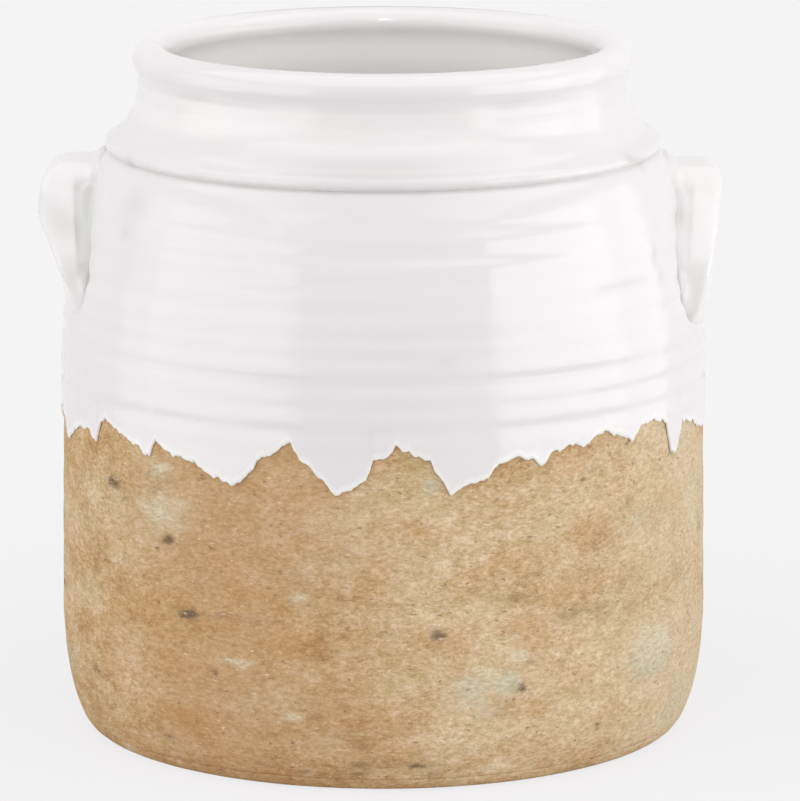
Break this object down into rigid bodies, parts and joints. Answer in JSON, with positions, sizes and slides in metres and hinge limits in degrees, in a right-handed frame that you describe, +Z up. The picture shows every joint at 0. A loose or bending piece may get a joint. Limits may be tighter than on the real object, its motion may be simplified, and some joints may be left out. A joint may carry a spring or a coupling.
{
  "type": "vase",
  "caption": "Wide stoneware crock vase with a flared collar, a rolled rim, folded ears on the shoulder and a white glaze dipped over bare tan clay.",
  "frame": {"origin": "centre of the foot, on the surface that the vase stands on", "axes": "+Z up along the axis of the pot; -Y towards the front; the ears at +X and -X"},
  "size_m": [0.2425, 0.2303, 0.245],
  "materials": {
    "bare_clay": "unglazed tan stoneware, mottled, matt",
    "inner_clay": "unglazed tan stoneware under the glaze",
    "white_glaze": "glossy warm white glaze",
    "liner_glaze": "glossy warm white glaze, poured inside"
  },
  "bodies": {
    "root": {"base_slab": "bare_clay", "body_wall": "bare_clay", "neck_collar": "inner_clay", "rolled_rim": "inner_clay", "right_ear": "white_glaze", "left_ear": "white_glaze", "outer_glaze": "white_glaze", "liner_glaze": "liner_glaze"}
  },
  "joints": []
}
